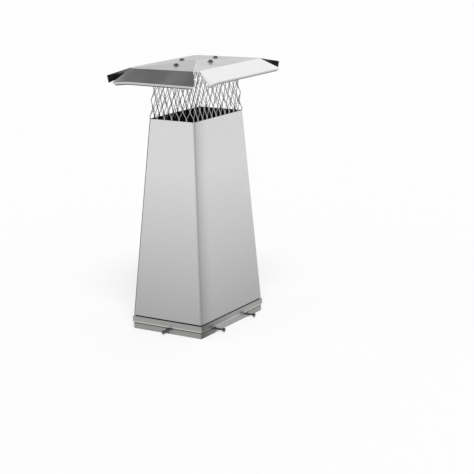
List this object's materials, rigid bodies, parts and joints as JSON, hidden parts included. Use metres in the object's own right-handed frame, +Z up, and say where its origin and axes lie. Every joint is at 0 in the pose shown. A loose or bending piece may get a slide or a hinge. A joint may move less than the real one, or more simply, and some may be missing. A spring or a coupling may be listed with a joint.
{
  "type": "chimney cap",
  "caption": "Tall tapered stainless chimney cap with a diamond mesh screen, folded rain lid and screw-clamped base skirt for a rectangular flue tile.",
  "frame": {"origin": "centre of the flue opening in plan, at the lower edge of the clamp brackets", "axes": "+Z up the stack, X across the short side, Y along the long side; the lap seam is on the -X side"},
  "size_m": [0.3484, 0.4874, 0.8248],
  "materials": {
    "lid_steel": "bright mill-finish stainless sheet",
    "screen_steel": "dull stainless expanded metal",
    "stack_steel": "fine vertical-grain stainless sheet",
    "base_steel": "stainless sheet, slightly duller than the stack",
    "fastener_steel": "plain stainless screws, nuts and washers"
  },
  "bodies": {
    "root": {"lid": "lid_steel", "mesh_screen": "screen_steel", "stack_shell": "stack_steel", "base_pan": "base_steel", "corner_bracket_1": "base_steel", "corner_bracket_2": "base_steel", "corner_bracket_3": "base_steel", "corner_bracket_4": "base_steel", "side_clamp_plate_1": "base_steel", "side_clamp_plate_2": "base_steel", "end_clamp_plate_1": "base_steel", "end_clamp_plate_2": "base_steel", "clamp_screws": "fastener_steel", "lid_screws": "fastener_steel", "lid_washers": "fastener_steel", "lid_nuts": "fastener_steel"}
  },
  "joints": []
}
